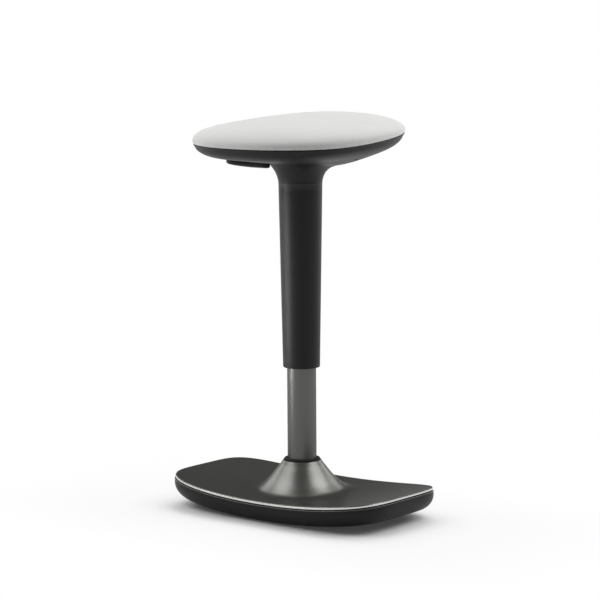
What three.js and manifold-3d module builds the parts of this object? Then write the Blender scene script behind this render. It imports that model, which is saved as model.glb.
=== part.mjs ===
// Perch stool: a crowned seat on a telescopic column, over a base that rocks sideways.
// Millimetres. +Z is up, X is the long (rocking) axis of the base, -Y is the front of the seat.
// The origin lies on the floor, under the column's axis.

import * as THREE from 'three';
import { mergeVertices } from 'three/addons/utils/BufferGeometryUtils.js';
import Module from 'manifold-3d';

const wasm = await Module();
wasm.setup();

// Travel of the seat from the height it is drawn at
const lowering = 155;
const raising = 95;

// Base
const baseHalfLength = 229.2;
const baseHalfWidth = 130;
const rockerSag = 18;
const landHalfLength = 30;
const rimHeight = 38;
const bodyFloor = 3;
const bodyWall = 4;
const bodyLedge = 9;
const bodyEdgeDrop = 14;
const bodyEdgeInset = 14;
const bodyLip = 1;
const grooveDepth = 3;
const grooveHeight = 2.6;
const trimWidth = 4;
const trimHeight = 3.4;
const trimChamfer = 0.8;
const deckThickness = 2.3;
const soleInset = 30;
const soleThickness = 2.3;
const soleChamfer = 1.3;
const plateThickness = 8;
const plateHalfLength = 160;

// Boot, where the deck rises round the column
const bootTop = 91.3;
const bootRim = 3.1;
const bootFoot = 90;
const bootWall = 2.6;
const bootLip = 1.2;
const bootLipDepth = 5;
const sealWidth = 3.2;
const sealDepth = 6;
const sealCap = 2.6;
const sealBead = 1.4;

// Column
const columnRadius = 25.4;
const columnWall = 2;
const socketFlangeRadius = 50;
const socketFlange = 6;
const socketCollarWall = 5.7;
const socketCollarHeight = 40;
const socketChamfer = 1;
const endPlate = 4;
const endPlateLift = 3.5;
const bushingLength = 80;
const bushingFlange = 3;
const bushingHold = 68;

// Gas spring
const rodRadius = 5;
const rodNeckRadius = 4;
const rodGrooveRadius = 3;
const rodTip = 1;
const springRadius = 14;
const springWall = 1.5;
const springDrop = 38.6;
const springTaperLength = 34;
const springTaper = 1.4;
const springBlock = 28;
const pistonLength = 18;
const pistonRoom = 5;
const guideLength = 14;
const guideInset = 2;
const raceThickness = 2;
const raceRadius = 14;
const cageThickness = 4;
const cageInset = 1;
const bumpHeight = 10;
const bumpRadius = 12;
const clipThickness = 1.2;
const clipRadius = 9;
const pinRadius = 3;
const pinLength = 30;
const pinStandout = 9;

// Sleeve and neck
const sleeveFlare = 5.8;
const sleeveWall = 3;
const sleeveEdge = 3;
const sleeveRoom = 8.7;
const glideThickness = 3;
const glideLength = 16;
const glideInset = 1;
const spigotLength = 14;
const spigotWall = 3;
const spigotShoulder = 2;

// Seat
const seatHalfWidth = 175.5;
const seatHalfDepth = 178.5;
const seatForward = 3;
const seatBorder = 655.3;
const seatTilt = THREE.MathUtils.degToRad(3.45);
const neckDepth = 78.6;
const frontRise = 12.1;
const shellWall = 3;
const borderShadow = 0.6;
const boardThickness = 9;
const boardInset = 4.5;
const boardDrop = 1;
const drillStop = 1.5;
const crownHeight = 33;
const coverThickness = 1.6;
const coverTuck = 0.2;
const seatPlateRadius = 72;
const seatPlateThickness = 3;
const hubWall = 5;
const hubLength = 42;
const hubStandout = 4;
const hubRoom = 4;
const housingRadius = 42;
const housingWall = 2.5;
const housingDrop = 9;

// Release lever
const leverAzimuth = THREE.MathUtils.degToRad(-142.9);
const pivotReach = 30;
const pivotLift = 14;
const pivotRadius = 3;
const pivotStandout = 3.6;
const armWidth = 10;
const armRise = 6;
const armNose = 4;
const tongueInset = 7;
const tongueLength = 38;
const tongueDrop = 8.6;
const tongueHeight = 4.6;
const paddleWidth = 34;
const paddleLength = 73;
const paddleOffset = 13;
const paddleDrop = 14.8;
const paddleHeight = 14.4;
const windowRoom = 3;

// Fasteners
const woodScrew = { shank: 2, head: 4.1, headHeight: 3 };
const plateBolt = { shank: 3, head: 5, headHeight: 4 };
const socketBolt = { shank: 4, head: 6.5, headHeight: 5 };
const baseScrewSink = 5;
const shellScrewSink = 10;
const bossWall = 2;
const bossJoint = 20;
const endScrewInset = 36.8;
const endScrewOffset = 80;
const sideScrewInset = 20.2;
const shellScrewInset = 55.5;

// Fits
const gap = 0.3;
const overrun = 40;

// Facets round the pieces
const fine = 32;
const medium = 24;
const coarse = 16;
const small = 8;

// Corner powers: 2 is an ellipse, larger is squarer
const basePowers = [3.45, 4.85];
const seatPowers = [2.2, 2.2];

// The boot's flare: shares of its spread, then of its height
const bootShares = [
  [0, 0.98], [0.061, 0.861], [0.141, 0.754], [0.288, 0.561], [0.405, 0.419], [0.549, 0.266], [0.685, 0.139],
  [0.787, 0.057], [0.881, 0.016], [1, 0.002],
];
// The seat shell's underside: shares of the way from neck to border, then of its height
const shellShares = [
  [0.006, 0.076], [0.021, 0.158], [0.045, 0.234], [0.087, 0.3], [0.159, 0.347], [0.269, 0.375], [0.45, 0.443],
  [0.669, 0.58], [0.851, 0.724], [0.953, 0.851],
];
// The cushion's crown: shares of the seat's half width, then of the crown's height
const crownShares = [
  [1.0046, 0.133], [1.0006, 0.267], [0.9835, 0.4], [0.948, 0.541], [0.895, 0.667], [0.798, 0.8],
  [0.598, 0.9185], [0.342, 0.978],
];
// The paddle's side: shares of its length, then of its height
const paddleShares = [
  [0, 0.68], [0, 0.139], [0.034, 0.028], [0.082, 0], [0.178, 0.007], [0.438, 0.069], [0.685, 0.208],
  [0.863, 0.354], [0.959, 0.514], [1, 0.75], [1, 0.917], [0.945, 1], [0.096, 0.958],
];
// Where the seat's plan squares up, how far its crown falls to the sides, where its tilt sets in
// and where its front lift comes and goes
const planShare = 0.342;
const swayShare = 0.12;
const tiltShare = 0.61;
const liftShares = [0.342, 0.58, 0.98];

const { sin, cos, tan, abs, sign, sqrt, min, max, PI } = Math;
const { lerp, smoothstep, mapLinear } = THREE.MathUtils;
const thirdShares = [1 / 3, 2 / 3, 1];

// Radii from the column outwards
const columnBore = columnRadius - columnWall;
const bootThroat = columnRadius + sealWidth;
const bootTopRadius = bootThroat + bootRim;
const socketCollarRadius = columnRadius + gap + socketCollarWall;
const socketBoltCircle = (socketCollarRadius + socketFlangeRadius) / 2;
const springBore = springRadius - springWall;
const glideRadius = columnRadius + 2 * gap + glideThickness;
const sleeveBottomRadius = glideRadius + gap + sleeveWall;
const sleeveTopRadius = sleeveBottomRadius + sleeveFlare;
const hubRadius = springRadius + hubWall;
const seatBoltCircle = (housingRadius + seatPlateRadius) / 2;
const shellScrewCircle = seatHalfWidth - shellScrewInset;

// Levels in the base, from the floor up
const rimBand = baseHalfLength - soleInset;
const deckRim = baseHalfLength - trimWidth - gap;
const deckUnder = rimHeight - deckThickness;
const bodyUnderside = soleThickness + gap;
const bodyTop = rimHeight - trimHeight - gap;
const ledgeTop = deckUnder - gap;
const floorTop = bodyUnderside + bodyFloor;
const plateBottom = floorTop + gap;
const plateTop = plateBottom + plateThickness;
const flangeBottom = plateTop + rise(socketFlangeRadius) + gap;
const flangeTop = flangeBottom + socketFlange;
const endScrewReach = baseHalfLength - endScrewInset;
const sideScrewReach = baseHalfWidth - sideScrewInset;
const baseScrewPlaces = [
  [endScrewReach, endScrewOffset], [-endScrewReach, endScrewOffset], [-endScrewReach, -endScrewOffset],
  [endScrewReach, -endScrewOffset], [0, sideScrewReach], [0, -sideScrewReach],
];

// Levels in the seat, from the border down
const sleeveTop = seatBorder - neckDepth;
const springTop = seatBorder - springDrop;
const hubTop = springTop + hubStandout;
const hubBottom = hubTop - hubLength;
const housingBottom = springTop - housingDrop;
const pinTop = springTop + pinStandout;
const pivotHeight = springTop + pivotLift;
const armTop = pivotHeight + armRise;
const sleeveBottom = bootTop + lowering + sleeveRoom;

// Levels in the column, which the seat's travel sets
const columnTop = hubBottom - lowering - bushingFlange - hubRoom;
const endPlateBottom = flangeBottom + endPlateLift;
const endPlateTop = endPlateBottom + endPlate;
const lowerRaceBottom = endPlateTop + gap;
const cageBottom = lowerRaceBottom + raceThickness + gap;
const upperRaceBottom = cageBottom + cageThickness + gap;
const shoulder = upperRaceBottom + raceThickness + gap;
const springBottom = columnTop - raising - bushingHold;
const springBoreTop = springTop - springBlock;
const pistonBottom = springBottom + raising + guideInset + guideLength + pistonRoom;
const pistonTop = pistonBottom + pistonLength;

// The release lever, from the column outwards
const pivotLength = 2 * (sqrt(housingRadius ** 2 - pivotReach ** 2) + pivotStandout);
const paddleRoot = housingRadius + paddleOffset;
const paddleTip = paddleRoot + paddleLength;
const tongueStart = paddleRoot + tongueInset;
const tongueEnd = tongueStart + tongueLength;

// Levels in the pad, from its border and square to its tilt
const boardTop = boardThickness - boardDrop;
const plateFace = -boardDrop - gap;
const plateBack = plateFace - seatPlateThickness;

/** A closed geometry with shared points, no empty triangles and its faces pointing out. */
function closed(geometry) {
  const bare = geometry.clone();
  for (const name of Object.keys(bare.attributes)) {
    if (name !== 'position') bare.deleteAttribute(name);
  }
  const merged = mergeVertices(bare, gap / 100);
  const place = merged.attributes.position;
  const corners = [0, 1, 2].map(() => new THREE.Vector3());
  const kept = [];
  let volume = 0;
  for (let i = 0; i < merged.index.count; i += 3) {
    const face = [0, 1, 2].map((k) => merged.index.getX(i + k));
    if (new Set(face).size < 3) continue;
    face.forEach((index, k) => corners[k].fromBufferAttribute(place, index));
    volume += corners[0].dot(corners[1].clone().cross(corners[2]));
    kept.push(face);
  }
  if (volume < 0) kept.forEach((face) => face.reverse());
  merged.setIndex(kept.flat());
  return merged;
}

/** A solid that can be joined and cut. */
function toSolid(geometry) {
  const source = closed(geometry);
  return new wasm.Manifold(new wasm.Mesh({
    numProp: 3,
    vertProperties: new Float32Array(source.attributes.position.array),
    triVerts: new Uint32Array(source.index.array),
  }));
}

/** The geometry of a joined or cut solid. */
function toGeometry(solid) {
  const mesh = solid.getMesh();
  const geometry = new THREE.BufferGeometry();
  geometry.setAttribute('position', new THREE.BufferAttribute(new Float32Array(mesh.vertProperties), 3));
  geometry.setIndex(new THREE.BufferAttribute(new Uint32Array(mesh.triVerts), 1));
  return geometry;
}

/** A geometry with some others joined to it, and then some cut from it. */
function carve(geometry, { joined = [], removed = [] }) {
  let solid = toSolid(geometry);
  for (const part of joined) solid = solid.add(toSolid(part));
  for (const part of removed) solid = solid.subtract(toSolid(part));
  return toGeometry(solid);
}

/** What two geometries have in common. */
function common(first, second) {
  return toGeometry(toSolid(first).intersect(toSolid(second)));
}

/** A [radius, height] profile turned about Z. It starts and ends on the axis, or closes on itself. */
function turned(profile, facets) {
  const onAxis = profile[0][0] === 0 && profile[profile.length - 1][0] === 0;
  const points = onAxis ? profile : [...profile, profile[0]];
  return new THREE.LatheGeometry(points.map(([r, z]) => new THREE.Vector2(r, z)), facets).rotateX(PI / 2);
}

/** A ring of rectangular section. */
function ring(inner, outer, bottom, height, facets = coarse) {
  const top = bottom + height;
  return turned([[inner, bottom], [outer, bottom], [outer, top], [inner, top]], facets);
}

/** An upright cylinder between two heights, at a place in plan. */
function post([x, y], radius, bottom, top, facets = small) {
  return turned([[0, bottom], [radius, bottom], [radius, top], [0, top]], facets).translate(x, y, 0);
}

/** A geometry with each of its points moved by a function of its plan radius, angle and height. */
function reshaped(geometry, move) {
  const place = geometry.attributes.position;
  for (let i = 0; i < place.count; i += 1) {
    const [x, y, z] = [place.getX(i), place.getY(i), place.getZ(i)];
    place.setXYZ(i, ...move(sqrt(x * x + y * y), Math.atan2(y, x), z));
  }
  return geometry;
}

/** A profile moved by a distance, to the left of the way that it runs. */
function offset(profile, distance) {
  return profile.map(([r, z], i) => {
    const before = profile[max(0, i - 1)];
    const after = profile[min(profile.length - 1, i + 1)];
    const along = new THREE.Vector2(after[0] - before[0], after[1] - before[1]).normalize();
    return [r - along.y * distance, z + along.x * distance];
  });
}

/** A smooth curve through a few profile points, in a number of steps. */
function smooth(points, steps) {
  const curve = new THREE.CatmullRomCurve3(points.map(([r, z]) => new THREE.Vector3(r, z, 0)));
  return curve.getPoints(steps).map((p) => [p.x, p.y]);
}

/** Every other point of a profile. */
function thinned(profile) {
  return profile.filter((_, i) => i % 2 === 0);
}

/** From 0 at start to 1 at end, softly. */
function ease(value, start, end) {
  return smoothstep(value, start, end);
}

/** A point of an outline with two half axes and two corner powers. */
function rounded(halfX, halfY, powers, angle) {
  const [c, s] = [cos(angle), sin(angle)];
  return [halfX * sign(c) * abs(c) ** (2 / powers[0]), halfY * sign(s) * abs(s) ** (2 / powers[1])];
}

/** Places spread evenly on a circle. */
function circle(radius, count, start) {
  return Array.from({ length: count }, (_, i) => {
    const angle = start + (i * 2 * PI) / count;
    return [radius * cos(angle), radius * sin(angle)];
  });
}

/** A screw that points up, with the face of its head at zero and a drive hole in it. */
function screw({ shank, head, headHeight }, length) {
  const drive = head / 2;
  return turned([
    [0, headHeight / 2], [drive, headHeight / 2], [drive, 0], [head, 0], [head, headHeight],
    [shank, headHeight], [shank, length], [0, length],
  ], small);
}

/** A named mesh with a finish. */
function piece(name, geometry, look) {
  const mesh = new THREE.Mesh(closed(geometry), look.clone());
  mesh.name = name;
  return mesh;
}

/** A mesh set down at a place. */
function placed(mesh, x, y, z) {
  mesh.position.set(x, y, z);
  return mesh;
}

/** A material of one colour. */
function finish(color, roughness, metalness) {
  return new THREE.MeshStandardMaterial({ color, roughness, metalness });
}

const deckMetal = finish(0x4a4b49, 0.42, 0.75);
const trimMetal = finish(0xd6d6d3, 0.25, 1);
const columnMetal = finish(0x747472, 0.5, 0.8);
const blackPlastic = finish(0x262726, 0.5, 0);
const blackRubber = finish(0x1c1c1c, 0.85, 0);
const steel = finish(0x8b8d8f, 0.4, 0.9);
const darkSteel = finish(0x3a3b3c, 0.5, 0.8);
const fabric = finish(0xc9c9c6, 0.9, 0);
const foam = finish(0xe3dcc4, 1, 0);
const plywood = finish(0xb28c5c, 0.8, 0);
const nylon = finish(0xd9d7cd, 0.6, 0);

// Base

/** Where a turned point lies in the base's plan: round at the boot, then the base's own outline. */
function basePlan(radius, angle) {
  const inset = baseHalfLength - radius;
  if (radius >= rimBand) return rounded(radius, baseHalfWidth - inset, basePowers, angle);
  const inner = min(radius, bootFoot);
  const share = max(0, (radius - bootFoot) / (rimBand - bootFoot));
  const edge = rounded(rimBand, baseHalfWidth - soleInset, basePowers, angle);
  return [
    lerp(inner * cos(angle), edge[0], share),
    lerp(inner * sin(angle), edge[1], share),
  ];
}

/** How far the rocker curve lifts a place along the base. It is zero at the ends of the flat land. */
function rise(x) {
  return (rockerSag * (x * x - landHalfLength * landHalfLength)) / (baseHalfLength * baseHalfLength);
}

/** A turned geometry given the base's plan and rocker curve. It may stay level out to a radius. */
function rocking(geometry, levelRadius = 0) {
  return reshaped(geometry, (radius, angle, z) => {
    const [x, y] = basePlan(radius, angle);
    const share = levelRadius > 0 ? ease(radius, levelRadius, bootFoot) : 1;
    return [x, y, z + rise(x) * share];
  });
}

/** A level stretch of a profile from the axis to a radius, with stops enough to follow the curve. */
function level(z, radius) {
  const inner = [0, landHalfLength, (landHalfLength + bootFoot) / 2, bootFoot];
  const outer = thirdShares.map((share) => lerp(bootFoot, rimBand, share));
  return [...inner, ...outer].filter((r) => r < radius - bodyWall).map((r) => [r, z]);
}

/** A quarter of an oval that runs down from an outer radius and in to a bottom. */
function lowerCorner(outer, inset, bottom, steps) {
  return Array.from({ length: steps + 1 }, (_, i) => {
    const angle = (i / steps) * (PI / 2);
    return [outer - inset * (1 - cos(angle)), bottom + bodyEdgeDrop * (1 - sin(angle))];
  });
}

function deckCover() {
  const flare = smooth(bootShares.map(([out, up]) => [
    lerp(bootTopRadius, bootFoot, out), lerp(rimHeight, bootTop, up),
  ]), 9);
  const outward = thirdShares.map((share) => lerp(bootFoot, rimBand, share));
  const profile = [
    [bootThroat, bootTop - bootLip], [bootThroat + bootLip, bootTop], ...flare,
    ...outward.map((r) => [r, rimHeight]), [deckRim, rimHeight],
    [deckRim, deckUnder], ...outward.map((r) => [r, deckUnder]).reverse(),
    ...thinned(offset(flare, -bootWall)).reverse(), [bootThroat, bootTop - bootLipDepth],
  ];
  const hole = woodScrew.shank + gap;
  return piece('deck_cover', carve(rocking(turned(profile, fine), bootTopRadius), {
    joined: baseScrewPlaces.map(([x, y]) => post([x, y], hole + bossWall,
      bossJoint + gap + rise(x), rimHeight - deckThickness / 2 + rise(x))),
    removed: baseScrewPlaces.map(([x, y]) => post([x, y], hole, rise(x), deckUnder - gap + rise(x))),
  }), deckMetal);
}

function edgeTrim() {
  const outer = baseHalfLength;
  const bottom = rimHeight - trimHeight;
  return piece('edge_trim', rocking(turned([
    [outer - trimWidth, bottom], [outer - trimChamfer / 2, bottom], [outer, bottom + trimChamfer / 2],
    [outer, rimHeight - trimChamfer], [outer - trimChamfer, rimHeight], [outer - trimWidth, rimHeight],
  ], fine)), trimMetal);
}

function baseBody() {
  const outer = baseHalfLength;
  const inner = outer - bodyWall;
  const grooveBottom = bodyTop - grooveHeight;
  const profile = [
    ...level(bodyUnderside, outer - bodyEdgeInset),
    ...lowerCorner(outer, bodyEdgeInset, bodyUnderside, 4).reverse(),
    [outer, grooveBottom - bodyLip], [outer - bodyLip, grooveBottom], [outer - grooveDepth, grooveBottom],
    [outer - grooveDepth, bodyTop], [deckRim, bodyTop], [deckRim, ledgeTop],
    [outer - bodyLedge, ledgeTop], [outer - bodyLedge, bodyTop - bodyWall], [inner, bodyTop - 2 * bodyWall],
    ...lowerCorner(inner, bodyEdgeInset, floorTop, 3), ...level(floorTop, inner - bodyEdgeInset).reverse(),
  ];
  const sink = bodyUnderside + baseScrewSink;
  const recess = woodScrew.head + gap;
  return piece('base_body', carve(rocking(turned(profile, fine)), {
    joined: baseScrewPlaces.map(([x, y]) => post([x, y], recess + bossWall,
      floorTop - bodyFloor / 2 + rise(x), bossJoint + rise(x))),
    removed: baseScrewPlaces.flatMap(([x, y]) => [
      post([x, y], recess, -overrun, sink + rise(x)),
      post([x, y], woodScrew.shank + gap, rise(x), overrun + rise(x)),
    ]),
  }), blackPlastic);
}

function baseScrews() {
  const head = bodyUnderside + baseScrewSink - gap - woodScrew.headHeight;
  const tip = deckUnder - bossWall;
  return baseScrewPlaces.map(([x, y], i) => (
    placed(piece(`base_screw_${i + 1}`, screw(woodScrew, tip - head), steel), x, y, head + rise(x))
  ));
}

function solePad() {
  const pad = rocking(turned([
    ...level(0, rimBand - soleChamfer), [rimBand - soleChamfer, 0], [rimBand, soleChamfer],
    [rimBand, soleThickness], ...level(soleThickness, rimBand).reverse(),
  ], fine));
  const floor = new THREE.BoxGeometry(2 * baseHalfLength, 2 * baseHalfWidth, overrun)
    .translate(0, 0, -overrun / 2);
  return piece('sole_pad', carve(pad, { removed: [floor] }), blackRubber);
}

function socketBoltHoles() {
  return circle(socketBoltCircle, 4, PI / 4).map((place) => post(place, socketBolt.shank + gap, 0, overrun));
}

function rockerPlate() {
  const plate = rocking(turned([
    ...level(plateBottom, plateHalfLength), [plateHalfLength, plateBottom],
    [plateHalfLength, plateTop], ...level(plateTop, plateHalfLength).reverse(),
  ], fine));
  return piece('rocker_plate', carve(plate, { removed: socketBoltHoles() }), darkSteel);
}

function columnSocket() {
  const bore = columnRadius + gap;
  const collarTop = flangeTop + socketCollarHeight;
  const socket = turned([
    [bore, flangeBottom], [socketFlangeRadius, flangeBottom], [socketFlangeRadius, flangeTop],
    [socketCollarRadius, flangeTop], [socketCollarRadius, collarTop - socketChamfer],
    [socketCollarRadius - socketChamfer, collarTop], [bore, collarTop],
  ], medium);
  return piece('column_socket', carve(socket, { removed: socketBoltHoles() }), darkSteel);
}

function socketBolts() {
  const top = flangeTop + gap + socketBolt.headHeight;
  const length = top - plateBottom - drillStop;
  return circle(socketBoltCircle, 4, PI / 4).map(([x, y], i) => {
    const bolt = piece(`socket_bolt_${i + 1}`, screw(socketBolt, length), steel);
    bolt.rotation.x = PI;
    return placed(bolt, x, y, top);
  });
}

function bootSeal() {
  const inner = columnRadius + gap;
  const stem = bootThroat - gap;
  const bead = bootThroat + sealBead;
  return piece('boot_seal', turned([
    [inner, bootTop - sealDepth], [stem, bootTop - sealDepth], [stem, bootTop + gap], [bead, bootTop + gap],
    [bead, bootTop + sealCap / 2], [bootThroat, bootTop + sealCap], [inner, bootTop + sealCap],
  ], medium), blackRubber);
}

// Column, which stands in the base
function columnPieces() {
  const bushingInner = springRadius + gap;
  const bushingOuter = columnBore - gap;
  const flange = columnRadius - gap;
  const seatOn = columnTop + gap;
  const tubeLength = columnTop - flangeBottom;
  const bushing = [
    [bushingInner, columnTop - bushingLength], [bushingOuter, columnTop - bushingLength],
    [bushingOuter, seatOn], [flange, seatOn], [flange, seatOn + bushingFlange],
    [bushingInner, seatOn + bushingFlange],
  ];
  const cage = ring(rodRadius + cageInset, raceRadius - cageInset, cageBottom, cageThickness);
  return [
    piece('column_tube', ring(columnBore, columnRadius, flangeBottom, tubeLength, medium), columnMetal),
    piece('tube_end_plate', ring(rodNeckRadius + gap, columnBore - gap, endPlateBottom, endPlate), steel),
    piece('bearing_lower_race', ring(rodRadius, raceRadius, lowerRaceBottom, raceThickness), steel),
    piece('bearing_cage', cage, nylon),
    piece('guide_bushing', turned(bushing, coarse), nylon),
  ];
}

// Gas spring's rod, which turns in the column but doesn't rise
function rodPieces() {
  const clipTop = endPlateBottom - gap;
  const clipBottom = clipTop - clipThickness;
  const rod = [
    [0, flangeBottom + gap], [rodNeckRadius, flangeBottom + gap], [rodNeckRadius, clipBottom - gap],
    [rodGrooveRadius, clipBottom - gap], [rodGrooveRadius, endPlateBottom], [rodNeckRadius, endPlateBottom],
    [rodNeckRadius, shoulder], [rodRadius, shoulder], [rodRadius, pistonBottom - gap],
    [rodNeckRadius, pistonBottom - gap], [rodNeckRadius, pistonTop + rodTip], [0, pistonTop + rodTip],
  ];
  return [
    piece('piston_rod', turned(rod, coarse), steel),
    piece('piston', ring(rodNeckRadius + gap, springBore - gap, pistonBottom, pistonLength), nylon),
    piece('bearing_upper_race', ring(rodNeckRadius + gap, raceRadius, upperRaceBottom, raceThickness), steel),
    piece('bump_stop', ring(rodRadius + gap, bumpRadius, shoulder + gap, bumpHeight), blackRubber),
    piece('retaining_clip', ring(rodGrooveRadius + gap, clipRadius, clipBottom, clipThickness), steel),
  ];
}

// Gas spring's tube, which carries the seat

/** The tube's outer radius at a height, in its taper or below it. */
function taperRadius(z) {
  return springRadius - springTaper * max(0, 1 - (springTop - z) / springTaperLength);
}

function springPieces() {
  const pinBore = pinRadius + gap;
  const tube = [
    [springBore, springBottom], [springRadius, springBottom], [springRadius, springTop - springTaperLength],
    [taperRadius(springTop), springTop], [pinBore, springTop], [pinBore, springBoreTop],
    [springBore, springBoreTop],
  ];
  const guide = ring(rodRadius + gap, springBore - gap, springBottom + guideInset, guideLength);
  return [
    piece('pressure_tube', turned(tube, coarse), darkSteel),
    piece('rod_guide', guide, nylon),
  ];
}

function releasePin() {
  return piece('release_pin', post([0, 0], pinRadius, pinTop - pinLength, pinTop), steel);
}

/** The sleeve's outer radius at a height. */
function sleeveRadius(z) {
  return mapLinear(z, sleeveBottom, sleeveTop, sleeveBottomRadius, sleeveTopRadius);
}

function sleevePieces() {
  const foot = sleeveBottomRadius - sleeveWall;
  const shoulderHeight = sleeveBottom + sleeveEdge;
  const sleeve = [
    [foot, sleeveBottom], [foot + sleeveWall / 2, sleeveBottom],
    [sleeveBottomRadius - sleeveWall / 6, sleeveBottom + sleeveEdge / 3],
    [sleeveRadius(shoulderHeight), shoulderHeight], [sleeveTopRadius, sleeveTop],
    [sleeveTopRadius - sleeveWall, sleeveTop],
  ];
  const glide = ring(glideRadius - glideThickness, glideRadius, sleeveBottom + glideInset, glideLength, fine);
  return [
    piece('column_sleeve', turned(sleeve, fine), blackPlastic),
    piece('sleeve_glide', glide, nylon),
  ];
}

// Seat

/** A point of the seat's outline, scaled to a radius. */
function seatOutline(radius, angle) {
  return rounded(radius, (radius * seatHalfDepth) / seatHalfWidth, seatPowers, angle);
}

/** A turned geometry given the seat's plan, lifted at the front and tilted away from the neck. */
function seatFormed(geometry) {
  return reshaped(geometry, (radius, angle, z) => {
    const squared = ease(radius, planShare * seatHalfWidth, seatHalfWidth);
    const edge = seatOutline(radius, angle);
    const x = lerp(radius * cos(angle), edge[0], squared);
    const y = lerp(radius * sin(angle), edge[1] - seatForward, squared);
    const tilted = y * tan(seatTilt) * ease(radius, sleeveTopRadius, tiltShare * seatHalfWidth);
    const [full, fading, gone] = liftShares.map((share) => share * seatHalfWidth);
    const front = ((1 - sin(angle)) / 2) ** (3 / 2);
    const lift = frontRise * front * ease(radius, sleeveTopRadius, full) * (1 - ease(radius, fading, gone));
    return [x, y, z + tilted + lift];
  });
}

/** A turned geometry given the seat's outline, in the pad's own frame. */
function padFormed(geometry) {
  return reshaped(geometry, (radius, angle, z) => {
    const [x, y] = seatOutline(radius, angle);
    return [x, y - seatForward * min(1, radius / seatHalfWidth), z];
  });
}

/** A turned geometry given the cushion's form: its crown falls to the sides and rises to front and back. */
function cushionFormed(geometry) {
  return padFormed(reshaped(geometry, (radius, angle, z) => {
    const sway = swayShare * cos(2 * angle) * ease(radius, 0, planShare * seatHalfWidth);
    return [radius * cos(angle), radius * sin(angle), z - sway * max(0, z - boardTop - gap)];
  }));
}

/** A geometry of the pad's tilted frame, in the stool's own. */
function onPad(geometry) {
  return geometry.rotateX(seatTilt).translate(0, 0, seatBorder);
}

/** The outside of the seat shell from the neck out to the border. */
function shellCurve() {
  const top = seatBorder - borderShadow;
  return smooth([
    [sleeveTopRadius, sleeveTop + gap],
    ...shellShares.map(([out, up]) => [
      lerp(sleeveTopRadius, seatHalfWidth, out), lerp(sleeveTop, seatBorder, up),
    ]),
    [seatHalfWidth, top],
  ], 13);
}

function seatShell() {
  const outside = shellCurve();
  const top = seatBorder - borderShadow;
  const spigotBottom = sleeveTop - spigotLength;
  const spigotOuter = sleeveRadius(spigotBottom) - sleeveWall - gap;
  const spigotInner = spigotOuter - spigotWall;
  const dish = [
    ...outside, [seatHalfWidth - shellWall, top],
    ...thinned(offset(outside, shellWall).slice(1, -1)).reverse(),
    [spigotInner, sleeveTop + spigotShoulder], [spigotInner, spigotBottom], [spigotOuter, spigotBottom],
    [spigotOuter, sleeveTop + gap],
  ];
  const filled = seatFormed(turned([[0, sleeveTop + gap], ...outside, [0, top]], fine));
  const places = circle(shellScrewCircle, 4, 0);
  const sink = plateFace - shellScrewSink;
  const recess = woodScrew.head + gap;
  const bosses = places.map((place) => onPad(post(place, recess + bossWall, -2 * overrun, plateFace)));
  return piece('seat_shell', carve(seatFormed(turned(dish, fine)), {
    joined: bosses.map((boss) => common(boss, filled)),
    removed: [
      ...places.map((place) => onPad(post(place, recess, -3 * overrun, sink))),
      ...places.map((place) => onPad(post(place, woodScrew.shank + gap, sink - overrun, overrun))),
      besideColumn(paddleBlock(windowRoom)),
    ],
  }), blackPlastic);
}

function shellScrews() {
  const head = plateFace - shellScrewSink - gap - woodScrew.headHeight;
  const tip = boardTop - drillStop - bossWall;
  return circle(shellScrewCircle, 4, 0).map(([x, y], i) => (
    placed(piece(`shell_screw_${i + 1}`, screw(woodScrew, tip - head), steel), x, y, head)
  ));
}

// Pad: a board, its foam and its cover

/** The outside of the cushion from its border up to the middle of its crown. */
function crownCurve() {
  return smooth([
    [seatHalfWidth - coverTuck, -coverTuck],
    ...crownShares.map(([out, up]) => [out * seatHalfWidth, up * crownHeight]),
    [0, crownHeight],
  ], 10);
}

function seatBolts() {
  return circle(seatBoltCircle, 4, PI / 4);
}

function seatBoard() {
  const boardRadius = seatHalfWidth - boardInset;
  const board = padFormed(turned([
    [0, -boardDrop], [boardRadius, -boardDrop], [boardRadius, boardTop], [0, boardTop],
  ], fine));
  const screwHoles = circle(shellScrewCircle, 4, 0);
  return piece('seat_board', carve(board, {
    removed: [
      ...seatBolts().map((place) => post(place, plateBolt.shank + gap, -overrun, overrun)),
      ...screwHoles.map((place) => post(place, woodScrew.shank + gap, -overrun, boardTop - drillStop)),
    ],
  }), plywood);
}

function seatCover() {
  const outside = crownCurve();
  const inside = offset(outside, coverThickness);
  inside[0] = [outside[0][0] - coverThickness, outside[0][1]];
  inside[inside.length - 1] = [0, crownHeight - coverThickness];
  return piece('seat_cover', cushionFormed(turned([...outside.reverse(), ...inside], fine)), fabric);
}

function seatFoam() {
  const depth = coverThickness + gap;
  const outside = offset(crownCurve(), depth);
  const edge = seatHalfWidth - boardInset + gap;
  const base = boardTop + gap;
  const skirt = outside.filter(([r, z]) => z > 0 && z < base && r > edge + gap);
  const dome = outside.filter(([r, z]) => z >= base && r > 0);
  return piece('seat_foam', cushionFormed(turned([
    [0, base], [edge, base], [edge, 0], [seatHalfWidth - coverTuck - depth, 0],
    ...skirt, ...dome, [0, crownHeight - depth],
  ], fine)), foam);
}

// Mechanism under the board
function seatPlate() {
  const plate = post([0, 0], seatPlateRadius, plateBack, plateFace, medium);
  const holes = seatBolts().map((place) => post(place, plateBolt.shank + gap, -overrun, overrun));
  return piece('seat_plate', carve(plate, { removed: holes }), darkSteel);
}

function seatBoltPieces() {
  const head = plateBack - gap - plateBolt.headHeight;
  return seatBolts().map(([x, y], i) => (
    placed(piece(`seat_bolt_${i + 1}`, screw(plateBolt, boardTop - gap - head), steel), x, y, head)
  ));
}

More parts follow.
